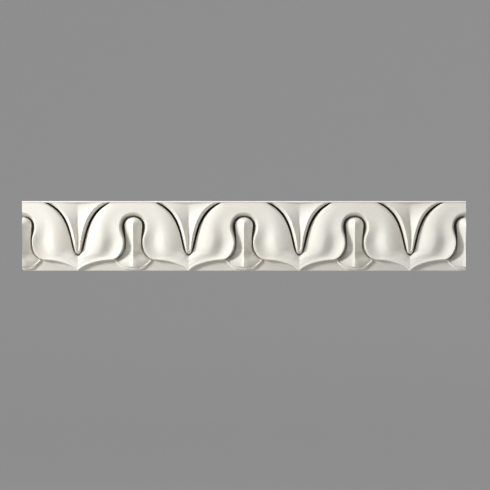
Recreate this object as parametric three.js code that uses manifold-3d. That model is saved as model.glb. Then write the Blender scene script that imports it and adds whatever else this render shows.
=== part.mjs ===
// Leaf-and-tongue enrichment moulding: a straight cast length with one flat back, four repeats long.
// Broad split leaves hang from the top fillet, a hollow dart fills the split of each leaf, and a
// ridged tongue stands under every arch between two leaves. Millimetres, +Z up, front towards -Y.
// The origin is the middle of the flat back.
import * as THREE from "three";
import { mergeVertices } from "three/addons/utils/BufferGeometryUtils.js";
import Module from "manifold-3d";

const wasm = await Module();
wasm.setup();

// Driving dimensions
const repeat = 159; // from one tongue's centre to the next
const repeats = 4;
const height = 100;
const depth = 32; // from the flat back to the foremost carving
const topFillet = 1.9; // height of the square edge over the leaves
const topRound = 1.5; // rounding of that edge
const bottomBevel = 0.7; // small bevel of the lower edge
const leafWall = 4.2; // run of the sloping wall round an arch
const leafWallLow = 1.9; // the same along the lobes and the lower edge
const leafLip = 1.3; // width of the flat lip on the leaf's rim
const dartWall = 3.2; // run of the dart's sloping side
const dartTipRadius = 3.6;
const footLip = 1.2; // width of the raised border on a tongue's foot
const footBevel = 2.8; // run of the slope from that border into the foot
const pocketInset = 0.5; // how far the foot's border laps over its pocket
const pocketRise = 10; // how far the pocket reaches up past the ground
const filletLap = 0.4; // how far the carving runs up behind the top fillet
const lap = 0.4; // how far two half leaves run into each other at the midrib
const chipAcross = 2.4; // the lower left corner is knocked off
const chipUp = 4.5;
const clear = 1; // how far a cutting block reaches past what it cuts

const half = repeat / 2;
const length = repeat * repeats;

// Proportions of the carving: plan points are shares of half a repeat and of the height, counted
// from a tongue's centre line and from the bottom edge; levels are shares of the depth.
const plan = (across, up) => new THREE.Vector2(across * half, up * height);

// A smooth curve through [place, value] pairs, level at neither end.
function through(pairs) {
  const slope = pairs.map((_, i) => {
    const a = pairs[Math.max(i - 1, 0)];
    const b = pairs[Math.min(i + 1, pairs.length - 1)];
    return (b[1] - a[1]) / (b[0] - a[0]);
  });
  return (place) => {
    const last = pairs.length - 2;
    let i = 0;
    while (i < last && place > pairs[i + 1][0]) i++;
    const [x0, y0] = pairs[i];
    const [x1, y1] = pairs[i + 1];
    const run = x1 - x0;
    const t = THREE.MathUtils.clamp((place - x0) / run, 0, 1);
    const h = THREE.MathUtils.smoothstep(t, 0, 1);
    const bend0 = t * (1 - t) * (1 - t) * run * slope[i];
    const bend1 = t * t * (t - 1) * run * slope[i + 1];
    return y0 + (y1 - y0) * h + bend0 + bend1;
  };
}

// One leaf edge from the top of an arch, round the lobe, to the leaf's point.
const rimPath = new THREE.Path();
rimPath.moveTo(...plan(0, 0.841));
for (const [a, b, c] of [
  [plan(0.161, 0.841), plan(0.249, 0.787), plan(0.249, 0.65)],
  [plan(0.249, 0.606), plan(0.172, 0.507), plan(0.172, 0.419)],
  [plan(0.172, 0.287), plan(0.259, 0.169), plan(0.396, 0.166)],
  [plan(0.608, 0.162), plan(0.888, 0.105), plan(1, 0.01)],
])
  rimPath.bezierCurveTo(a.x, a.y, b.x, b.y, c.x, c.y);

// The leaf's edge along the dart, from the top fillet to under the dart's tip.
const splitPath = new THREE.Path();
const filletShare = 1 - topFillet / height;
const underFillet = filletShare + filletLap / height;
const splitStart = 0.394;
splitPath.moveTo(...plan(splitStart, underFillet));
for (const [a, b, c] of [
  [plan(0.775, 0.839), plan(0.813, 0.613), plan(0.879, 0.342)],
  [plan(0.892, 0.287), plan(0.961, 0.228), plan(1, 0.228)],
])
  splitPath.bezierCurveTo(a.x, a.y, b.x, b.y, c.x, c.y);

// Levels along the leaf, from the arch's crown (0) to the midrib (1).
const cornerAt = 1 / 7; // the section that reaches the corner under the fillet
const splitShare = through([
  [cornerAt, 0], [0.21, 0.28], [0.3, 0.53], [0.39, 0.69], [0.5, 0.8], [0.6, 0.87], [0.8, 0.95], [1, 1],
]);
const rimLevel = through([
  [0, 0.925], [0.2, 0.925], [0.4, 0.905], [0.55, 0.875], [0.7, 0.84], [0.85, 0.81], [1, 0.79],
]);
const hollowLevel = through([
  [0, 0.93], [0.2, 0.915], [0.3, 0.865], [0.4, 0.79], [0.48, 0.775], [0.58, 0.795], [0.7, 0.815],
  [0.85, 0.79], [1, 0.765],
]);
const crestLevel = through([
  [0, 0.93], [0.2, 0.93], [0.3, 0.935], [0.4, 0.94], [0.5, 0.92], [0.58, 0.88], [0.68, 0.83],
  [0.85, 0.785], [1, 0.735],
]);
const splitLevel = through([
  [0, 0.93], [0.14, 0.92], [0.21, 0.86], [0.3, 0.79], [0.39, 0.755], [0.5, 0.735], [0.7, 0.71], [1, 0.69],
]);
const wallDrop = through([[0, 0.5], [0.45, 0.45], [0.62, 0.3], [1, 0.2]]);
const hollowAt = 0.27;
const crestAt = 0.62;

// Levels up the moulding, from share of the height to share of the depth.
const groundLevel = through([[0.015, 0.66], [0.05, 0.655], [0.1, 0.64], [0.17, 0.62]]);
const groundTop = 0.17;
const sinkLevel = [[0.22, 0.16], [0.6, 0.16], [0.955, 0.25]]; // floor of the sunk lines
const ridgeLevel = through([
  [0.08, 0.84], [0.2, 0.83], [0.33, 0.8], [0.42, 0.8], [0.5, 0.84], [0.56, 0.91], [0.62, 0.99], [0.65, 1],
  [0.68, 0.98], [0.71, 0.93], [0.74, 0.85], [0.77, 0.72],
]);
const tongueFall = through([[0.08, 0.23], [0.2, 0.25], [0.3, 0.31], [0.42, 0.33], [0.65, 0.3], [0.77, 0.2]]);
const tongueHalf = through([
  [0.155, 0.346], [0.17, 0.3], [0.194, 0.245], [0.23, 0.204], [0.27, 0.173], [0.315, 0.152], [0.36, 0.14],
  [0.41, 0.134], [0.5, 0.135], [0.59, 0.15], [0.66, 0.158], [0.8, 0.158],
]);
const dartRimLevel = through([[0.24, 0.8], [0.4, 0.88], [0.6, 0.93], [0.8, 0.95], [0.98, 0.945]]);
const dartValleyLevel = through([
  [0.24, 0.77], [0.32, 0.75], [0.45, 0.74], [0.6, 0.75], [0.8, 0.79], [0.98, 0.87],
]);
const dartDrop = 0.19;
const dartRimLeast = 0.6; // the rim's least share of the way out, near the tip
const bottomLevel = 0.66;
const topLevel = 0.95;
const rootLevel = 0.1; // where the carved blocks end inside the bed

// A closed block with a carved front: place gives the plan point and level the depth there.
function carvedBlock(columns, rows, place, level) {
  const block = new THREE.BoxGeometry(columns, rows, 1, columns, rows, 1);
  const spots = block.getAttribute("position");
  for (let i = 0; i < spots.count; i++) {
    const column = Math.round(spots.getX(i) + columns / 2);
    const row = Math.round(spots.getY(i) + rows / 2);
    const spot = place(column, row);
    const share = spots.getZ(i) > 0 ? level(column, row, spot) : rootLevel;
    spots.setXYZ(i, spot.x, -share * depth, spot.y);
  }
  return block;
}

// A geometry as a solid, moved along the moulding.
function solid(geometry, along = 0) {
  const bare = geometry.clone();
  bare.deleteAttribute("normal");
  bare.deleteAttribute("uv");
  const merged = mergeVertices(bare.translate(along, 0, 0), 1e-4);
  return new wasm.Manifold(
    new wasm.Mesh({
      numProp: 3,
      vertProperties: merged.attributes.position.array,
      triVerts: new Uint32Array(merged.index.array),
    }),
  );
}

// Background: the cross-section with the top fillet, run along the whole length.
function bedGeometry() {
  const top = topLevel * depth;
  const bottom = bottomLevel * depth;
  const groundBottom = 0.015;
  const groundSteps = 3;
  const roundSteps = 3;
  const section = new THREE.Shape();
  section.moveTo(0, 0);
  section.lineTo(bottom - bottomBevel, 0);
  section.lineTo(bottom, bottomBevel);
  for (let i = 0; i <= groundSteps; i++) {
    const up = THREE.MathUtils.lerp(groundBottom, groundTop, i / groundSteps);
    section.lineTo(groundLevel(up) * depth, up * height);
  }
  for (const [up, level] of sinkLevel) section.lineTo(level * depth, up * height);
  section.lineTo(sinkLevel.at(-1)[1] * depth, height - topFillet);
  section.lineTo(top, height - topFillet);
  for (let i = 0; i <= roundSteps; i++) {
    const turn = ((i / roundSteps) * Math.PI) / 2;
    section.lineTo(top - topRound * (1 - Math.cos(turn)), height - topRound * (1 - Math.sin(turn)));
  }
  section.lineTo(0, height);
  section.closePath();
  const bed = new THREE.ExtrudeGeometry(section, { depth: length, bevelEnabled: false });
  // The section's x is depth and its y is height: turn it to face -Y and run along +X.
  const turn = new THREE.Matrix4().makeBasis(
    new THREE.Vector3(0, -1, 0),
    new THREE.Vector3(0, 0, 1),
    new THREE.Vector3(-1, 0, 0),
  );
  return bed.applyMatrix4(turn).translate(length / 2, 0, 0);
}

// Two half leaves joined over an arch, centred on a tongue.
const leafColumns = 30; // along each half leaf
const columnStops = [[0, 0], [4, cornerAt], [17, 0.4], [leafColumns, 1]]; // closer together beside the dart
const wallRow = 1; // the row where the sloping wall meets the rim
const lipRow = wallRow + 1;
const leafRows = 8;

function leafGeometry() {
  const placeAlong = (column) => {
    const i = columnStops.findIndex(([stop]) => stop >= Math.max(column, 1));
    const [from, p0] = columnStops[i - 1];
    const [to, p1] = columnStops[i];
    return THREE.MathUtils.mapLinear(column, from, to, p0, p1);
  };
  const section = (column) => {
    const p = placeAlong(Math.abs(column - leafColumns));
    const rim = rimPath.getPointAt(p);
    const tangent = rimPath.getTangentAt(p);
    const run = THREE.MathUtils.lerp(leafWall, leafWallLow, THREE.MathUtils.smoothstep(p, 0.25, 0.42));
    const foot = rim.clone().add(new THREE.Vector2(tangent.y, -tangent.x).multiplyScalar(run));
    const underCorner = plan((splitStart * p) / cornerAt, underFillet);
    const inner = p < cornerAt ? underCorner : splitPath.getPointAt(splitShare(p));
    return { p, rim, foot, inner, lip: leafLip / rim.distanceTo(inner) };
  };
  const across = (row, lip) => THREE.MathUtils.lerp(lip, 1, (row - lipRow) / (leafRows - lipRow));
  const place = (column, row) => {
    const { p, rim, foot, inner, lip } = section(column);
    const spot = row < wallRow ? foot : rim.clone().lerp(inner, row < lipRow ? 0 : across(row, lip));
    const reach = p === 1 ? half + lap : Math.min(spot.x, half);
    return new THREE.Vector2(Math.sign(column - leafColumns) * reach, spot.y);
  };
  const level = (column, row) => {
    const { p, lip } = section(column);
    const rim = rimLevel(p);
    if (row < wallRow) return rim - wallDrop(p);
    if (row <= lipRow) return rim;
    const share = across(row, lip);
    const hollow = hollowLevel(p);
    const crest = crestLevel(p);
    if (share < hollowAt) return rim + (hollow - rim) * Math.sin(((share / hollowAt) * Math.PI) / 2);
    if (share < crestAt)
      return THREE.MathUtils.lerp(hollow, crest, THREE.MathUtils.smoothstep(share, hollowAt, crestAt));
    const fall = Math.cos((((share - crestAt) / (1 - crestAt)) * Math.PI) / 2);
    return splitLevel(p) + (crest - splitLevel(p)) * fall;
  };
  return carvedBlock(2 * leafColumns, leafRows, place, level);
}

// The ridged tongue under an arch. Its foot is a dish with a raised border.
const tongueTop = 0.77;
const tongueSpring = 0.65;
const footFlat = 0.6; // share of the foot's width that runs level
const footBottom = 0.03;
const footShoulder = 0.155;
const footHalf = 0.346;
const lipLevel = 0.82;
const lipLevelHigh = 0.74; // the border's level at the shoulder
const lipNarrow = 0.45; // share of the border's width that is left along the shoulder
const tongueSides = [-1, -0.8, -0.6, -0.4, -0.2, 0, 0.2, 0.4, 0.6, 0.8, 1];
const tongueRows = [0, 0.07, 0.14, 0.22, 0.31, 0.4, 0.5, 0.61, 0.72, 0.82, 0.9, 0.96, 1];

function tongueGeometry() {
  const borderRows = 2; // the foot's border and its slope come before the rows above
  const chamferOf = (side) => Math.max(Math.abs(side) - footFlat, 0) / (1 - footFlat);
  const place = (column, row) => {
    const side = tongueSides[column];
    const chamfer = chamferOf(side);
    const bottom = THREE.MathUtils.lerp(footBottom, footShoulder, chamfer) * height;
    const narrow = THREE.MathUtils.lerp(1, lipNarrow, chamfer);
    const top = (tongueSpring + (tongueTop - tongueSpring) * Math.sqrt(1 - side * side)) * height;
    const border = [0, footLip * narrow, (footLip + footBevel) * narrow][Math.min(row, borderRows)];
    const up = row > borderRows ? tongueRows[row - borderRows] : 0;
    const z = THREE.MathUtils.lerp(bottom + border, top, up);
    return new THREE.Vector2(side * tongueHalf(z / height) * half, z);
  };
  const level = (column, row, spot) => {
    const side = Math.abs(tongueSides[column]);
    if (row < borderRows) return THREE.MathUtils.lerp(lipLevel, lipLevelHigh, chamferOf(side));
    const z = spot.y / height;
    const scoop = Math.sin((Math.min(side / 0.8, 1) * Math.PI) / 2);
    const dish = (side + scoop) / 2;
    const dome = side * side;
    const facet = THREE.MathUtils.lerp(side, dome, THREE.MathUtils.smoothstep(z, 0.64, 0.76));
    const shape = THREE.MathUtils.lerp(dish, facet, THREE.MathUtils.smoothstep(z, 0.18, 0.3));
    return ridgeLevel(z) - tongueFall(z) * shape;
  };
  return carvedBlock(tongueSides.length - 1, tongueRows.length - 1 + borderRows, place, level);
}

// The room that a tongue's foot takes out of the ground.
function pocketGeometry() {
  const inset = pocketInset / half;
  const top = groundTop + pocketRise / height;
  const outline = new THREE.Shape([
    plan(footHalf - inset, top),
    plan(inset - footHalf, top),
    plan(inset - footHalf, footShoulder + inset),
    plan((inset - footHalf) * footFlat, footBottom + inset),
    plan((footHalf - inset) * footFlat, footBottom + inset),
    plan(footHalf - inset, footShoulder + inset),
  ]);
  const pocket = new THREE.ExtrudeGeometry(outline, { depth: depth, bevelEnabled: false });
  return pocket.rotateX(Math.PI / 2).translate(0, -sinkLevel[0][1] * depth, 0);
}

// The hollow dart in the split of a leaf.
const dartSides = [-1, -0.75, -0.5, -0.25, 0, 0.25, 0.5, 0.75, 1]; // shares of the way to the rim

function dartGeometry() {
  const columns = dartSides.length + 1;
  const rows = 13;
  const edge = new THREE.CubicBezierCurve(
    plan(1 - 0.054, 0.275),
    plan(1 - 0.157, 0.544),
    plan(1 - 0.157, 0.864),
    plan(1 - 0.57, underFillet),
  );
  const isFoot = (column) => column === 0 || column === columns;
  const sideOf = (column, wide) => {
    const rim = Math.max(1 - dartWall / wide, dartRimLeast);
    return isFoot(column) ? Math.sign(column - 1) : rim * dartSides[column - 1];
  };
  const place = (column, row) => {
    const spot = edge.getPointAt(row / rows);
    const wide = half - spot.x;
    const side = sideOf(column, wide);
    const round = dartTipRadius * Math.sqrt(1 - side * side) * (1 - row / rows) ** 6;
    return new THREE.Vector2(side * wide, spot.y - round);
  };
  const level = (column, row, spot) => {
    const z = spot.y / height;
    const rim = dartRimLevel(z);
    if (isFoot(column) || row === 0) return rim - dartDrop;
    const rise = Math.sin((Math.abs(dartSides[column - 1]) * Math.PI) / 2);
    return THREE.MathUtils.lerp(dartValleyLevel(z), rim, rise);
  };
  return carvedBlock(columns, rows, place, level);
}

// What is missing at the lower left corner.
function chipGeometry() {
  const left = -length / 2;
  const outline = new THREE.Shape();
  outline.moveTo(left, chipUp);
  outline.lineTo(left - clear, chipUp);
  outline.lineTo(left - clear, -clear);
  outline.lineTo(left + chipAcross, -clear);
  outline.lineTo(left + chipAcross, 0);
  outline.closePath();
  const chip = new THREE.ExtrudeGeometry(outline, { depth: depth + 2 * clear, bevelEnabled: false });
  return chip.rotateX(Math.PI / 2).translate(0, clear, 0);
}

// All the carving on the bed, cut square at both ends through a tongue.
function mouldingGeometry() {
  const leaf = leafGeometry();
  const tongue = tongueGeometry();
  const pocket = pocketGeometry();
  const dart = dartGeometry();
  const blank = new THREE.BoxGeometry(length, depth, height).translate(0, -depth / 2, height / 2);
  let carved = solid(bedGeometry());
  for (let i = 0; i <= repeats; i++) carved = carved.subtract(solid(pocket, (i - repeats / 2) * repeat));
  for (let i = 0; i <= repeats; i++) {
    const centre = (i - repeats / 2) * repeat;
    carved = carved.add(solid(leaf, centre)).add(solid(tongue, centre));
    if (i < repeats) carved = carved.add(solid(dart, centre + half));
  }
  carved = carved.intersect(solid(blank)).subtract(solid(chipGeometry()));
  const mesh = carved.getMesh();
  const geometry = new THREE.BufferGeometry();
  geometry.setAttribute("position", new THREE.BufferAttribute(mesh.vertProperties, 3));
  geometry.setIndex(new THREE.BufferAttribute(mesh.triVerts, 1));
  return geometry.translate(0, 0, -height / 2);
}

const plaster = new THREE.MeshStandardMaterial({ color: 0xe9e6dc, roughness: 0.55, metalness: 0 });
const moulding = new THREE.Mesh(mouldingGeometry(), plaster);
moulding.name = "leaf_and_tongue_moulding";

const part = new THREE.Group();
part.add(moulding);
export default part;
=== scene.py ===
import math
import bpy
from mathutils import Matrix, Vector
from mathutils.geometry import interpolate_bezier


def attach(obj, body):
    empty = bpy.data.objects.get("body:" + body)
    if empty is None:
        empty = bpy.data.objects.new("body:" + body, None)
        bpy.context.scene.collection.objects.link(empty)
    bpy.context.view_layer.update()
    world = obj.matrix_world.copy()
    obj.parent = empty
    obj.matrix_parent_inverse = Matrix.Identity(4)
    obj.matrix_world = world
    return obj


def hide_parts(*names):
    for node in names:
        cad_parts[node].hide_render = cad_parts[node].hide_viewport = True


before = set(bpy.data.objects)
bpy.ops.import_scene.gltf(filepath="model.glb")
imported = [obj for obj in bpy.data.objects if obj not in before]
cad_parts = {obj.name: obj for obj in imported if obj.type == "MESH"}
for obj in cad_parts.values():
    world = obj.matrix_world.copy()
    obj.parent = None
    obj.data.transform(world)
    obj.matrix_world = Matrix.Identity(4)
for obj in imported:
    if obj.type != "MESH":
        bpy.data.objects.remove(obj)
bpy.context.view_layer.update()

print("frame loaded:", list(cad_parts))

# the whole strip, in millimetres until it is scaled to metres at the end
strip = {
    "repeat": 159.0,        # from one tongue's centre to the next
    "repeats": 4,
    "height": 100.0,
    "depth": 32.0,          # flat back to the foremost carving
    "topFillet": 1.9,
    "filletBevel": 1.5,
    "topLevel": 0.95,       # levels are shares of the depth
    "rootLevel": 0.1,       # where the carved blocks end inside the bed
    "tuck": 0.4,            # how far the carving runs up behind the fillet
    "overrun": 1.5,         # how far the carved blocks pass the mirror planes, which trim them
    "clipAcross": 2.4,      # the lower left corner is knocked off
    "clipUp": 4.5,
    "weld": 0.01,           # points closer than this are merged
    "smoothUnder": 35,      # edges that turn by fewer degrees are shaded smooth
}
half = strip["repeat"] / 2
height = strip["height"]
depth = strip["depth"]
underFillet = 1 - (strip["topFillet"] - strip["tuck"]) / height
millimetre = 0.001


def clamp(value, low=0.0, high=1.0):
    return max(low, min(high, value))


def mix(a, b, share):
    return a + (b - a) * share


def smooth(value, low, high):
    t = clamp((value - low) / (high - low))
    return t * t * (3 - 2 * t)


def through(pairs):
    # a smooth curve through (place, value) pairs
    slopes = []
    for i in range(len(pairs)):
        a, b = pairs[max(i - 1, 0)], pairs[min(i + 1, len(pairs) - 1)]
        slopes.append((b[1] - a[1]) / (b[0] - a[0]))

    def curve(place):
        i = 0
        while i < len(pairs) - 2 and place > pairs[i + 1][0]:
            i += 1
        (x0, y0), (x1, y1) = pairs[i], pairs[i + 1]
        run = x1 - x0
        t = clamp((place - x0) / run)
        bend = t * (1 - t) * (1 - t) * run * slopes[i] + t * t * (t - 1) * run * slopes[i + 1]
        return y0 + (y1 - y0) * t * t * (3 - 2 * t) + bend
    return curve


def plan(across, up):
    # a point of the front view: shares of half a repeat and of the height
    return Vector((across * half, up * height))


class Path:
    # a chain of Bezier curves, walked by length
    def __init__(self, start, curves, steps=60):
        self.points = [start]
        here = start
        for a, b, end in curves:
            self.points += [Vector(p) for p in interpolate_bezier(here, a, b, end, steps)[1:]]
            here = end
        self.lengths = [0.0]
        for a, b in zip(self.points, self.points[1:]):
            self.lengths.append(self.lengths[-1] + (b - a).length)

    def at(self, share):
        want = clamp(share) * self.lengths[-1]
        i = 1
        while i < len(self.lengths) - 1 and self.lengths[i] < want:
            i += 1
        span = self.lengths[i] - self.lengths[i - 1]
        return self.points[i - 1].lerp(self.points[i], (want - self.lengths[i - 1]) / span)

    def along(self, share, reach=0.004):
        # the direction of the path there, taken over a short stretch to both sides
        return (self.at(min(share + reach, 1)) - self.at(max(share - reach, 0))).normalized()


def active():
    return bpy.context.view_layer.objects.active


def only(obj):
    bpy.ops.object.select_all(action="DESELECT")
    obj.select_set(True)
    bpy.context.view_layer.objects.active = obj


def carvedBlock(name, columns, rows, place, level):
    # a grid laid out on the front view, pushed to its levels, then thickened back to the root
    bpy.ops.object.select_all(action="DESELECT")
    bpy.ops.mesh.primitive_grid_add(x_subdivisions=columns, y_subdivisions=rows, size=2, location=(0, 0, 0))
    block = active()
    block.name = name
    for vert in block.data.vertices:
        column = round((vert.co.x + 1) / 2 * columns)
        row = round((vert.co.y + 1) / 2 * rows)
        spot = place(column, row)
        vert.co = (spot.x, -level(column, row, spot) * depth, spot.y)
    root = -strip["rootLevel"] * depth
    bpy.ops.object.mode_set(mode="EDIT")
    bpy.ops.mesh.select_all(action="SELECT")
    bpy.ops.mesh.extrude_region_move()
    bpy.ops.transform.resize(value=(1, 0, 1), center_override=(0, root, 0))
    bpy.ops.mesh.dissolve_faces()
    bpy.ops.mesh.select_all(action="SELECT")
    bpy.ops.mesh.normals_make_consistent(inside=False)
    bpy.ops.object.mode_set(mode="OBJECT")
    return block


def prism(name, outline, axis, start, end):
    # an outline of two coordinates, carried along the third, x or y, from start to end
    bpy.ops.object.select_all(action="DESELECT")
    bpy.ops.mesh.primitive_circle_add(vertices=len(outline), radius=1, fill_type="NGON", location=(0, 0, 0))
    block = active()
    block.name = name
    for vert, (a, b) in zip(block.data.vertices, outline):
        vert.co = (start, a, b) if axis == "x" else (a, start, b)
    move = (end - start, 0, 0) if axis == "x" else (0, end - start, 0)
    bpy.ops.object.mode_set(mode="EDIT")
    bpy.ops.mesh.select_all(action="SELECT")
    bpy.ops.mesh.extrude_region_move(TRANSFORM_OT_translate={"value": move})
    bpy.ops.mesh.select_all(action="SELECT")
    bpy.ops.mesh.normals_make_consistent(inside=False)
    bpy.ops.object.mode_set(mode="OBJECT")
    return block


def join(target, tool, operation):
    # one Boolean, applied, and the tool removed
    only(target)
    cut = target.modifiers.new("join", "BOOLEAN")
    cut.operation = operation
    cut.solver = "MANIFOLD"
    cut.object = tool
    bpy.ops.object.modifier_apply(modifier=cut.name)
    bpy.data.objects.remove(tool, do_unlink=True)


sideRound = 0.45            # how much of a side's fall is its rounded shoulder, the rest is a straight slope


def wallShape(x):
    # how far a side has fallen: 0 on the rim, 1 at the foot
    return (1 - sideRound) * x + sideRound * (1 - math.sqrt(max(1 - x * x, 0)))


# the bed: the top fillet and the floor of the sunk lines
bed = {
    "underGround": 0.45,    # its level behind the ground
    "step": 1.0,            # the floor starts this far under the ground's top edge, in millimetres
    "sunk": [(0.22, 0.42), (0.3, 0.36), (0.42, 0.26), (0.55, 0.16), (0.955, 0.18)],   # heights and levels
    "bevelSteps": 4,
    "overrun": 1.0,         # its own run past the mirror planes
}


def makeBed():
    back = -bed["underGround"] * depth
    front = -strip["topLevel"] * depth
    edge = height - strip["topFillet"]
    bevel = strip["filletBevel"]
    outline = [(0, 0), (back, 0), (back, ground["top"] * height - bed["step"])]
    outline += [(-level * depth, up * height) for up, level in bed["sunk"]]
    outline += [(-bed["sunk"][-1][1] * depth, edge), (front, edge)]
    for i in range(bed["bevelSteps"] + 1):
        turn = i / bed["bevelSteps"] * math.pi / 2
        outline.append((front + bevel * (1 - math.cos(turn)), height - bevel * (1 - math.sin(turn))))
    outline.append((0, height))
    return prism("bed", outline, "x", -bed["overrun"], half + bed["overrun"])


# the ground under the leaves: highest beside each foot, sunk towards the leaf's point
ground = {
    "top": 0.17,
    "level": through([(0, 0.665), (0.05, 0.66), (0.1, 0.645), (0.17, 0.62)]),
    "sink": 0.055,          # how far it has sunk at the leaf's point
    "sinkBend": 1.6,        # above 1 it sinks slowly first and then faster
    "edge": 0.8,            # rounding of the lower edge, in millimetres
    "edgeRows": 4,
    "columns": 50,
    "rows": 18,
}


def makeGround():
    edge, edgeRows, columns, rows = ground["edge"], ground["edgeRows"], ground["columns"], ground["rows"]

    def place(column, row):
        across = mix(-strip["overrun"], half + strip["overrun"], column / columns)
        if row <= edgeRows:
            return Vector((across, edge * (1 - math.cos(row / edgeRows * math.pi / 2))))
        return Vector((across, mix(edge, ground["top"] * height, (row - edgeRows) / (rows - edgeRows))))

    def level(column, row, spot):
        away = clamp(spot.x / half)
        rounding = (1 - math.sin(min(row / edgeRows, 1) * math.pi / 2)) * edge / depth
        return ground["level"](spot.y / height) - ground["sink"] * away ** ground["sinkBend"] - rounding

    return carvedBlock("ground", columns, rows, place, level)


# the leaf: one half, from the crown of the arch to its own midrib; places are shares of the rim's length
leafCorner = 1 / 7          # up to here the leaf ends at the fillet, and past it at the split
splitTop = 0.394            # where the split meets the fillet, as a share of half a repeat
leaf = {
    "wall": 4.2,            # run of the sloping side round the arch, in millimetres
    "wallLow": 1.9,         # the same along the lobe and the lower edge
    "wallNarrows": (0.25, 0.42),
    "wallCrown": 1.4,       # and how much more at the crown
    "crownEnds": (0.04, 0.18),
    "lip": 1.0,             # flat edge between the side and the hollow
    "leastUp": 0.02,        # the side stays this far over the underside
    "shoulder": through([(0.14, 0), (0.17, 3.2), (0.3, 2.6), (0.4, 1.6), (0.5, 0.9), (1, 0.9)]),
    "shoulderRun": 3.6,     # the leaf rounds off by the shoulder over this run, beside the dart
    "hollowAt": 0.25,       # shares of the way from the lip to the inner edge
    "crestAt": 0.57,
    # levels of the edge, the hollow, the crest and the split, and the fall of the sloping side
    "rim": through([(0, 0.925), (0.2, 0.925), (0.4, 0.905), (0.55, 0.86), (0.65, 0.832), (0.75, 0.805),
                    (0.85, 0.79), (0.93, 0.78), (1, 0.775), (1.07, 0.78)]),
    "hollow": through([(0, 0.93), (0.2, 0.915), (0.3, 0.865), (0.4, 0.785), (0.48, 0.762), (0.56, 0.765),
                       (0.65, 0.775), (0.75, 0.78), (0.85, 0.77), (0.93, 0.753), (1, 0.748), (1.07, 0.753)]),
    "crest": through([(0, 0.93), (0.2, 0.93), (0.3, 0.935), (0.4, 0.945), (0.5, 0.915), (0.58, 0.855),
                      (0.68, 0.81), (0.85, 0.765), (0.93, 0.73), (1, 0.715), (1.07, 0.73)]),
    "split": through([(0, 0.93), (0.14, 0.91), (0.21, 0.84), (0.3, 0.76), (0.39, 0.72), (0.5, 0.695),
                      (0.7, 0.665), (0.85, 0.647), (1, 0.638), (1.15, 0.647)]),
    "drop": through([(0, 0.5), (0.45, 0.45), (0.62, 0.3), (1, 0.2)]),
    # how far along the split each place of the rim looks across to
    "splitShare": through([(leafCorner, 0), (0.21, 0.28), (0.3, 0.53), (0.39, 0.69), (0.5, 0.8), (0.6, 0.87),
                           (0.8, 0.95), (1, 1)]),
    "columns": [(0, 0.0), (16, leafCorner), (64, 0.4), (124, 1.0)],    # close together where the rim turns
    "wallRows": 6,
    "rows": 40,
}
rimPath = Path(plan(0, 0.838), [
    (plan(0.13, 0.838), plan(0.243, 0.778), plan(0.252, 0.64)),
    (plan(0.2565, 0.55), plan(0.19, 0.5), plan(0.186, 0.41)),
    (plan(0.183, 0.315), plan(0.262, 0.17), plan(0.405, 0.166)),
    (plan(0.608, 0.162), plan(0.888, 0.105), plan(1, 0.01)),
])
splitPath = Path(plan(splitTop, underFillet), [
    (plan(0.757, 0.839), plan(0.822, 0.613), plan(0.892, 0.342)),
    (plan(0.905, 0.285), plan(0.961, 0.215), plan(1, 0.215)),
])


def makeLeaf():
    stops = leaf["columns"]
    sections = []
    for column in range(stops[-1][0] + 1):
        i = 1
        while stops[i][0] < column:
            i += 1
        (c0, p0), (c1, p1) = stops[i - 1], stops[i]
        p = mix(p0, p1, (column - c0) / (c1 - c0))
        rim = rimPath.at(p)
        tangent = rimPath.along(p)
        run = mix(leaf["wall"], leaf["wallLow"], smooth(p, *leaf["wallNarrows"]))
        run += leaf["wallCrown"] * (1 - smooth(p, *leaf["crownEnds"]))
        foot = rim + Vector((tangent.y, -tangent.x)) * run
        if p < leafCorner:
            inner = plan(splitTop * p / leafCorner, underFillet)
        else:
            inner = splitPath.at(leaf["splitShare"](p))
        sections.append((p, rim, foot, inner))
    # one more section past each end, so that the mirror planes cut through solid plaster
    sections = [sections[0]] + sections + [sections[-1]]
    last = len(sections) - 1
    wallRows, rows = leaf["wallRows"], leaf["rows"]

    def rowShare(row):
        return (row - wallRows) / (rows - wallRows)

    def place(column, row):
        rim, foot, inner = sections[column][1:]
        spot = foot.lerp(rim, row / wallRows) if row < wallRows else rim.lerp(inner, rowShare(row))
        across = clamp(spot.x, 0, half)
        if column == 0:
            across = -strip["overrun"]
        if column == last:
            across = half + strip["overrun"]
        return Vector((across, max(spot.y, leaf["leastUp"])))

    def level(column, row, spot):
        p, rim, foot, inner = sections[column]
        high = leaf["rim"](p)
        if row < wallRows:
            return high - leaf["drop"](p) * wallShape(1 - row / wallRows)
        width = (inner - rim).length
        lip = leaf["lip"] / width
        share = clamp((rowShare(row) - lip) / (1 - lip))
        hollow, crest, split = leaf["hollow"](p), leaf["crest"](p), leaf["split"](p)
        if share < leaf["hollowAt"]:
            return high + (hollow - high) * math.sin(share / leaf["hollowAt"] * math.pi / 2)
        if share < leaf["crestAt"]:
            return mix(hollow, crest, smooth(share, leaf["hollowAt"], leaf["crestAt"]))
        fall = math.cos((share - leaf["crestAt"]) / (1 - leaf["crestAt"]) * math.pi / 2)
        near = clamp(1 - (1 - share) * width / leaf["shoulderRun"])
        rounding = leaf["shoulder"](p) / depth * (1 - math.sqrt(1 - near * near))
        return mix(split, crest, fall) - rounding

    return carvedBlock("leaf", last, rows, place, level)


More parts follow.
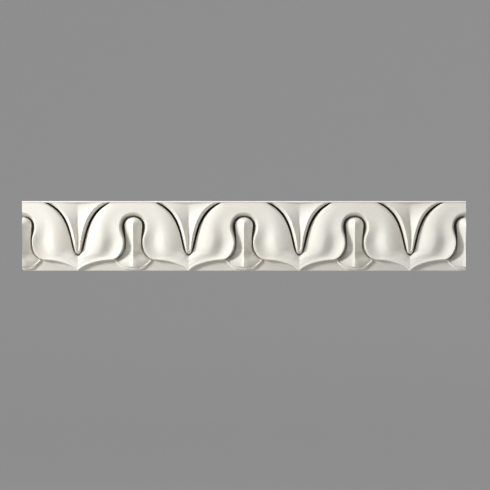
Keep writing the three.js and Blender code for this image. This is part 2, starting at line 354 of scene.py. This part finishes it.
# the tongue: a ridge with two facets, a round head and a dished foot with a raised border
tongue = {
    "top": 0.77,
    "spring": 0.65,         # where the round head starts at the sides
    "footFlat": 0.58,       # share of the foot's half width that is level below
    "footBottom": 0.018,
    "footShoulder": 0.155,
    "footHalf": 0.352,
    "corner": 0.2,          # rounding of the foot's corners
    "lip": 2.6,             # the border's width in millimetres
    "bevel": 1.6,           # and the slope behind it
    "narrow": 0.95,         # what is left of both at the foot's shoulder
    "lipLevel": 0.77,
    "lipLevelHigh": 0.7,    # the same at the foot's shoulder
    "lipFall": 0.02,        # how far the border slopes down to its edge
    "lipFallHigh": 0.045,
    "ridge": through([(0.06, 0.9), (0.12, 0.905), (0.2, 0.86), (0.28, 0.785), (0.35, 0.77), (0.42, 0.8),
                      (0.5, 0.86), (0.56, 0.925), (0.62, 0.985), (0.65, 0.995), (0.68, 0.98), (0.71, 0.93),
                      (0.74, 0.85), (0.77, 0.72)]),
    "fall": through([(0.05, 0.29), (0.12, 0.29), (0.16, 0.3), (0.2, 0.31), (0.28, 0.3), (0.42, 0.27),
                     (0.52, 0.27), (0.65, 0.29), (0.77, 0.2)]),
    "half": through([(0.155, 0.352), (0.17, 0.302), (0.194, 0.245), (0.22, 0.205), (0.245, 0.178),
                     (0.27, 0.157), (0.3, 0.143), (0.34, 0.136), (0.42, 0.138), (0.5, 0.142), (0.59, 0.151),
                     (0.66, 0.158), (0.8, 0.158)]),
    "headRounds": (0.64, 0.76),     # heights between which the flat facets become a round head
    "scoop": 0.4,           # how hollow the facets are over the foot
    "scoopWide": 0.8,
    "scoopStarts": (0.14, 0.26),
    "scoopEnds": (0.32, 0.42),
    "sideSteps": 18,
    "borderRows": 5,
    "rows": 60,
}


def bent(past):
    # nothing before the foot's corner, straight past it, and round between
    return (past + math.sqrt(past * past + tongue["corner"] ** 2)) / 2


def chamfer(side):
    # how far up the foot's slanted side its outline is: 0 at the middle, 1 at the shoulder
    least = bent(-tongue["footFlat"])
    return (bent(abs(side) - tongue["footFlat"]) - least) / (bent(1 - tongue["footFlat"]) - least)


def makeTongue():
    steps, borderRows, rows = tongue["sideSteps"], tongue["borderRows"], tongue["rows"]

    def sideOf(column):
        return math.sin((column - steps) / steps * math.pi / 2)

    def border(row):
        # height over the foot's lower edge, and how far down the slope behind the border it is
        share = min(row / borderRows, 1)
        reach = tongue["lip"] + tongue["bevel"]
        return share * reach, clamp((share * reach - tongue["lip"]) / tongue["bevel"])

    def place(column, row):
        side = sideOf(column)
        cut = chamfer(side)
        bottom = mix(tongue["footBottom"], tongue["footShoulder"], cut) * height
        top = mix(tongue["spring"], tongue["top"], math.sqrt(max(1 - side * side, 0))) * height
        start = bottom + border(row)[0] * mix(1, tongue["narrow"], cut)
        up = max(row - borderRows, 0) / (rows - borderRows)
        z = mix(start, top, up)
        return Vector((side * tongue["half"](z / height) * half, z))

    def level(column, row, spot):
        side = abs(sideOf(column))
        z = spot.y / height
        scoop = math.sin(min(side / tongue["scoopWide"], 1) * math.pi / 2)
        scooped = smooth(z, *tongue["scoopStarts"]) * (1 - smooth(z, *tongue["scoopEnds"]))
        facet = mix(side, side * side, smooth(z, *tongue["headRounds"]))
        inside = tongue["ridge"](z) - tongue["fall"](z) * mix(facet, scoop, tongue["scoop"] * scooped)
        if row >= borderRows:
            return inside
        lip = mix(tongue["lipLevel"], tongue["lipLevelHigh"], chamfer(side))
        slope = mix(tongue["lipFall"], tongue["lipFallHigh"], chamfer(side))
        lip -= slope * (1 - clamp(border(row)[0] / tongue["lip"]))
        return mix(lip, inside, smooth(border(row)[1], 0, 1))

    return carvedBlock("tongue", 2 * steps, rows, place, level)


# the pocket: the room that the tongue's foot takes out of the ground
pocket = {
    "inset": 0.5,           # how far it stays inside the foot's outline, in millimetres
    "rise": 0.1,            # how far it reaches over the ground
    "front": 1.2,           # where it ends in front, as a share of the depth
    "steps": 20,
}


def makePocket():
    inset = pocket["inset"] / half
    wide = tongue["footHalf"] - inset
    top = ground["top"] + pocket["rise"]
    outline = [plan(wide, top), plan(-wide, top)]
    for step in range(pocket["steps"] + 1):
        side = 2 * step / pocket["steps"] - 1
        up = mix(tongue["footBottom"], tongue["footShoulder"], chamfer(side)) + inset
        outline.append(plan(wide * side, up))
    return prism("pocket", outline, "y", -bed["underGround"] * depth, -pocket["front"] * depth)


# the dart: a hollow blade that fills the split of a leaf
dart = {
    "wall": 2.9,            # run of the sloping side, in millimetres
    "flare": 0.1,           # it widens by this share of the blade's width
    "rimLeast": 0.56,
    "tipRadius": 3.6,
    "tipFade": 24,          # how soon the round tip gives way to the straight blade
    "tipRows": 3,           # rows of the grid that slope down at the tip
    "drop": 0.19,
    "rim": through([(0.24, 0.8), (0.4, 0.88), (0.6, 0.93), (0.8, 0.95), (0.98, 0.945)]),
    "valley": through([(0.24, 0.76), (0.32, 0.74), (0.45, 0.73), (0.6, 0.735), (0.8, 0.77), (0.98, 0.86)]),
    "wallSteps": 5,
    "troughSteps": 8,
    "rows": 60,
}
dartPath = Path(plan(0.95, 0.28), [(plan(0.865, 0.53), plan(0.85, 0.855), plan(0.435, underFillet))])


def makeDart():
    wallSteps, troughSteps, rows = dart["wallSteps"], dart["troughSteps"], dart["rows"]
    steps = wallSteps + troughSteps

    def parts(column, wide):
        # how far out on the blade, as a share of its width, and how far down its outer side
        rim = max(1 - dart["flare"] - dart["wall"] / wide, dart["rimLeast"])
        outward = abs(column - steps)
        if outward <= troughSteps:
            return rim * outward / troughSteps, 0.0
        down = (outward - troughSteps) / wallSteps
        return mix(rim, 1, down), down

    def place(column, row):
        spot = dartPath.at(row / rows)
        wide = half - spot.x
        side = math.copysign(parts(column, wide)[0], column - steps)
        tip = dart["tipRadius"] * math.sqrt(max(1 - side * side, 0)) * (1 - row / rows) ** dart["tipFade"]
        return Vector((half + side * wide, spot.y - tip))

    def level(column, row, spot):
        wide = half - dartPath.at(row / rows).x
        z = spot.y / height
        high = dart["rim"](z)
        down = max(parts(column, wide)[1], 1 - min(row / dart["tipRows"], 1))
        if down > 0:
            return high - dart["drop"] * wallShape(down)
        return mix(dart["valley"](z), high, abs(column - steps) / troughSteps)

    return carvedBlock("dart", 2 * steps, rows, place, level)


print("carving half a repeat")
moulding = makeBed()
join(moulding, makeGround(), "UNION")
join(moulding, makePocket(), "DIFFERENCE")
for piece in (makeLeaf(), makeTongue(), makeDart()):
    join(moulding, piece, "UNION")
    print("joined,", len(moulding.data.polygons), "faces")

# trimmed at both mirror planes and mirrored to a whole repeat
only(moulding)
bpy.ops.object.mode_set(mode="EDIT")
bpy.ops.mesh.select_all(action="SELECT")
bpy.ops.mesh.bisect(plane_co=(0, 0, 0), plane_no=(1, 0, 0), clear_inner=True)
bpy.ops.mesh.select_all(action="SELECT")
bpy.ops.mesh.bisect(plane_co=(half, 0, 0), plane_no=(1, 0, 0), clear_outer=True)
bpy.ops.mesh.select_all(action="SELECT")
bpy.ops.transform.translate(value=(-half, 0, -height / 2))
bpy.ops.object.mode_set(mode="OBJECT")
mirror = moulding.modifiers.new("mirror", "MIRROR")
mirror.merge_threshold = strip["weld"]
bpy.ops.object.modifier_apply(modifier=mirror.name)

# repeated along the strip, centred, and closed at the ends
repeated = moulding.modifiers.new("row", "ARRAY")
repeated.count = strip["repeats"]
repeated.use_relative_offset = False
repeated.use_constant_offset = True
repeated.constant_offset_displace = (strip["repeat"], 0, 0)
repeated.use_merge_vertices = True
repeated.merge_threshold = strip["weld"]
bpy.ops.object.modifier_apply(modifier=repeated.name)
bpy.ops.object.mode_set(mode="EDIT")
bpy.ops.mesh.select_all(action="SELECT")
bpy.ops.transform.translate(value=(-strip["repeat"] * (strip["repeats"] - 1) / 2, 0, 0))
bpy.ops.mesh.select_all(action="DESELECT")
bpy.ops.mesh.select_non_manifold(extend=False)
bpy.ops.mesh.edge_face_add()
bpy.ops.mesh.select_all(action="SELECT")
bpy.ops.mesh.normals_make_consistent(inside=False)

# the knocked corner, then metres
corner = (-strip["repeat"] * strip["repeats"] / 2 + strip["clipAcross"], 0, -height / 2)
bpy.ops.mesh.bisect(plane_co=corner, plane_no=(-strip["clipUp"], 0, -strip["clipAcross"]), use_fill=True,
                    clear_outer=True)
bpy.ops.mesh.select_all(action="SELECT")
bpy.ops.transform.resize(value=(millimetre, millimetre, millimetre), center_override=(0, 0, 0))
bpy.ops.object.mode_set(mode="OBJECT")
moulding.name = "cast_leaf_and_tongue_moulding"
bpy.ops.object.shade_smooth_by_angle(angle=math.radians(strip["smoothUnder"]))
print("the whole strip,", len(moulding.data.polygons), "faces")


class Shade:
    # a socket of a material with Python's own operators, and one method for every other node
    def __init__(self, tree, socket=None):
        self.tree = tree
        self.socket = socket

    def node(self, kind, settings=None, values=None, out=0):
        made = self.tree.nodes.new(kind)
        for name, value in (settings or {}).items():
            setattr(made, name, value)
        for key, value in (values or {}).items():
            if isinstance(value, Shade):
                self.tree.links.new(value.socket, made.inputs[key])
            else:
                made.inputs[key].default_value = value
        return Shade(self.tree, made.outputs[out])

    def maths(self, operation, a, b):
        return self.node("ShaderNodeMath", {"operation": operation}, {0: a, 1: b})

    def __add__(self, other):
        return self.maths("ADD", self, other)

    def __radd__(self, other):
        return self.maths("ADD", other, self)

    def __sub__(self, other):
        return self.maths("SUBTRACT", self, other)

    def __rsub__(self, other):
        return self.maths("SUBTRACT", other, self)

    def __mul__(self, other):
        return self.maths("MULTIPLY", self, other)

    def __rmul__(self, other):
        return self.maths("MULTIPLY", other, self)

    def between(self, low, high):
        # 0 below low, 1 above high, smooth in the middle
        return self.node("ShaderNodeMapRange", {"interpolation_type": "SMOOTHSTEP"},
                         {"Value": self, "From Min": low, "From Max": high})


def newMaterial(name):
    material = bpy.data.materials.new(name)
    material.use_nodes = True
    return material, material.node_tree.nodes["Principled BSDF"], Shade(material.node_tree)


# sealed casting plaster, warm white
plaster = {
    "colour": (0.80, 0.778, 0.705, 1),
    "warm": (0.80, 0.762, 0.68, 1),
    "pale": (0.82, 0.802, 0.735, 1),
    "cloud": {"Scale": 22, "Detail": 3, "Roughness": 0.5},
    "swell": {"Scale": 60, "Detail": 2, "Roughness": 0.5},
    "mottle": {"Scale": 160, "Detail": 4, "Roughness": 0.6},
    "grain": {"Scale": 1900, "Detail": 2, "Roughness": 0.5},
    "clouded": (0.35, 0.65),
    "mottled": (0.3, 0.7),
    "mottleShare": 0.5,
    "roughness": 0.5,
    "roughnessSpread": 0.14,
    "specular": 0.35,
    "bump": 0.12,
    "bumpHeight": 0.0006,
    "bumpShares": {"grain": 0.35, "mottle": 0.6, "swell": 1.6},
}
# painted shade in the sunk lines and a little in the low parts; places are in metres from the middle of the
# back
paintedShade = {
    "colour": (0.065, 0.05, 0.038, 1),
    "sunk": (-0.0155, -0.0085),         # y, from unshaded to fully shaded
    "sunkShare": 0.97,
    "sunkByTongue": 0.3,                # less shade is painted round the tongues,
    "sunkByNeck": 0.3,                  # with so much added beside their necks
    "tongueReach": (0.022, 0.03),
    "neckStarts": (-0.014, -0.002),
    "neckEnds": (0.017, 0.022),
    "ground": (-0.0222, -0.0205),       # y again, on the ground near its lower edge
    "groundTop": (-0.036, -0.033),
    "groundShare": 0.12,
    "dish": (-0.0282, -0.0268),         # in the dish of each foot
    "dishStarts": (-0.0455, -0.0435),
    "dishEnds": (-0.026, -0.018),
    "dishShare": 0.2,
    "deep": (-0.0285, -0.0185),         # and a little wherever the carving lies back
    "deepShare": 0.13,
    "footSide": (-0.047, 0.888, 0.0155, 0.0172),    # slanted lines, as pastSlant takes them
    "footInside": (-0.047, 0.83, 0.0125, 0.0145),
    "leafEdge": (-0.033, -1.35, 0.0245, 0.026),
    "cutEnds": (0.3172, 0.3176),        # none is painted on the ends, the top, the underside and the back
    "longEdges": (0.0478, 0.0482),
    "back": (-0.003, -0.002),
}


def makePlaster():
    material, shader, shade = newMaterial("sealed_plaster")
    place = shade.node("ShaderNodeTexCoord", out="Object")
    x, y, z = [shade.node("ShaderNodeSeparateXYZ", None, {"Vector": place}, out=axis) for axis in "XYZ"]
    fromTongue = shade.maths("PINGPONG", x, half * millimetre)

    def noise(kind):
        return shade.node("ShaderNodeTexNoise", None, {"Vector": place, **plaster[kind]})

    def over(under, colour, factor):
        return shade.node("ShaderNodeMix", {"data_type": "RGBA"}, {"Factor": factor, "A": under, "B": colour},
                          out="Result")

    def band(axis, starts, ends):
        return axis.between(*starts) * (1 - axis.between(*ends))

    def pastSlant(bottom, slope, low, high):
        # 0 on the tongue's side of a slanted line of the front view, 1 past it
        return (fromTongue - (z - bottom) * slope).between(low, high)

    mottle, swell = noise("mottle"), noise("swell")
    tone = over(plaster["warm"], plaster["pale"], noise("cloud").between(*plaster["clouded"]))
    tone = over(tone, plaster["colour"], mottle.between(*plaster["mottled"]) * plaster["mottleShare"])

    # painted shade: the floors of the sunk lines are darkened as if in shadow, less round the tongues
    offEnds = 1 - shade.maths("ABSOLUTE", x, 0).between(*paintedShade["cutEnds"])
    offEdges = 1 - shade.maths("ABSOLUTE", z, 0).between(*paintedShade["longEdges"])
    offBack = offEnds * (1 - y.between(*paintedShade["back"]))
    byTongue = paintedShade["sunkByTongue"] + band(z, paintedShade["neckStarts"], paintedShade["neckEnds"]) * paintedShade["sunkByNeck"]
    offTongue = fromTongue.between(*paintedShade["tongueReach"])
    share = byTongue * (1 - offTongue) + offTongue * paintedShade["sunkShare"]
    tone = over(tone, paintedShade["colour"], y.between(*paintedShade["sunk"]) * offBack * offEdges * share)

    # painted shade: the ground beside each foot, near its low level, is darkened as if in the leaves' shadow
    onGround = y.between(*paintedShade["ground"]) * pastSlant(*paintedShade["footSide"]) * (1 - z.between(*paintedShade["groundTop"]))
    tone = over(tone, paintedShade["colour"], onGround * offBack * paintedShade["groundShare"])

    # painted shade: each foot's dish, and a little wherever the carving lies back, is darkened as if in
    # shadow
    inFoot = (1 - pastSlant(*paintedShade["footInside"])) * (1 - pastSlant(*paintedShade["leafEdge"]))
    inDish = inFoot * band(z, paintedShade["dishStarts"], paintedShade["dishEnds"]) * y.between(*paintedShade["dish"])
    low = y.between(*paintedShade["deep"]) * paintedShade["deepShare"] + inDish * paintedShade["dishShare"]
    tone = over(tone, paintedShade["colour"], low * offBack)

    shares = plaster["bumpShares"]
    relief = noise("grain") * shares["grain"] + mottle * shares["mottle"] + swell * shares["swell"]
    bump = shade.node("ShaderNodeBump", None,
                      {"Strength": plaster["bump"], "Distance": plaster["bumpHeight"], "Height": relief})
    roughness = plaster["roughness"] + (mottle - 0.5) * plaster["roughnessSpread"]
    links = material.node_tree.links
    links.new(tone.socket, shader.inputs["Base Color"])
    links.new(roughness.socket, shader.inputs["Roughness"])
    links.new(bump.socket, shader.inputs["Normal"])
    shader.inputs["Specular IOR Level"].default_value = plaster["specular"]
    return material


print("plaster")
moulding.data.materials.clear()
moulding.data.materials.append(makePlaster())
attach(moulding, "root")
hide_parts("leaf_and_tongue_moulding")

# camera: level, square to the front, far enough for the whole strip
camera = {
    "distance": 3.15,       # metres from the front plane, where the picture has its scale
    "frontPlane": 0.03,     # how far that plane is in front of the back
    "sensor": 36.0,
    "stripPixels": 444,     # the strip's length and the picture's side, in picture points
    "picturePixels": 490,
    "right": 1,             # picture points from the strip's middle to the picture's
    "down": 9,
    "clipEnd": 50,
}
print("camera, floor and light")
pixel = strip["repeat"] * strip["repeats"] * millimetre / camera["stripPixels"]
bpy.ops.object.camera_add(location=(camera["right"] * pixel, -camera["distance"] - camera["frontPlane"],
                                    -camera["down"] * pixel), rotation=(math.pi / 2, 0, 0))
eye = active()
eye.data.sensor_width = camera["sensor"]
eye.data.lens = camera["sensor"] * camera["distance"] / (camera["picturePixels"] * pixel)
eye.data.clip_end = camera["clipEnd"]
bpy.context.scene.camera = eye

# stage: a round pale bowl with a flat floor, so that every side view has the same plain ground
bowl = {
    "radius": 5.0,
    "floor": -0.95,
    "segments": 96,
    "rings": [(1.25, 0.35), (1.33, 1.4), (1.33, 4.6)],      # widths as shares of the radius, and heights
    "softness": 2,
    "colour": (0.42, 0.42, 0.425, 1),
    "roughness": 0.9,
    "glow": 0.11,
}
bpy.ops.object.select_all(action="DESELECT")
bpy.ops.mesh.primitive_circle_add(vertices=bowl["segments"], radius=bowl["radius"], fill_type="NGON",
                                  location=(0, 0, bowl["floor"]))
floor = active()
floor.name = "studio_floor"
bpy.ops.object.mode_set(mode="EDIT")
bpy.ops.mesh.select_all(action="SELECT")
grown = 1.0
risen = 0.0
for wide, up in bowl["rings"]:
    bpy.ops.mesh.extrude_region_move(TRANSFORM_OT_translate={"value": (0, 0, up - risen)})
    wider = wide / grown
    bpy.ops.transform.resize(value=(wider, wider, 1), center_override=(0, 0, bowl["floor"] + up))
    grown, risen = wide, up
bpy.ops.mesh.delete(type="ONLY_FACE")
bpy.ops.object.mode_set(mode="OBJECT")
soften = floor.modifiers.new("soften", "SUBSURF")
soften.levels = soften.render_levels = bowl["softness"]
bpy.ops.object.modifier_apply(modifier=soften.name)
bpy.ops.object.shade_smooth()
paper, paperShader, _ = newMaterial("studio_paper")
paperShader.inputs["Base Color"].default_value = bowl["colour"]
paperShader.inputs["Roughness"].default_value = bowl["roughness"]
paperShader.inputs["Emission Color"].default_value = (1, 1, 1, 1)
paperShader.inputs["Emission Strength"].default_value = bowl["glow"]
floor.data.materials.append(paper)

# light: a soft key from the left and a little above, weaker ones from the top and the lower left, and two
# for the other sides
lampDistance = 2.3
lamps = [
    # name, degrees round the strip from its right end, degrees forwards, metres across, watts
    ("key", 156, 28, 0.6, 49),
    ("top", 95, 22, 1.2, 14),
    ("low", 214, 42, 1.6, 13),
    ("far", 10, 40, 2.4, 2),
    ("back", 70, -40, 2.4, 30),
]
for name, turn, rise, size, power in lamps:
    turn, rise = math.radians(turn), math.radians(rise)
    aim = Vector((math.cos(turn) * math.cos(rise), -math.sin(rise), math.sin(turn) * math.cos(rise)))
    bpy.ops.object.light_add(type="AREA", location=aim * lampDistance)
    lamp = active()
    lamp.name = name
    lamp.data.shape = "DISK"
    lamp.data.size = size
    lamp.data.energy = power
    lamp.rotation_euler = aim.to_track_quat("Z", "Y").to_euler()
skyStrength = 0.35
sky = bpy.data.worlds.new("studio_air")
sky.use_nodes = True
sky.node_tree.nodes["Background"].inputs["Color"].default_value = (1, 1, 1, 1)
sky.node_tree.nodes["Background"].inputs["Strength"].default_value = skyStrength
bpy.context.scene.world = sky
bpy.context.scene.view_settings.view_transform = "Standard"

print("done")
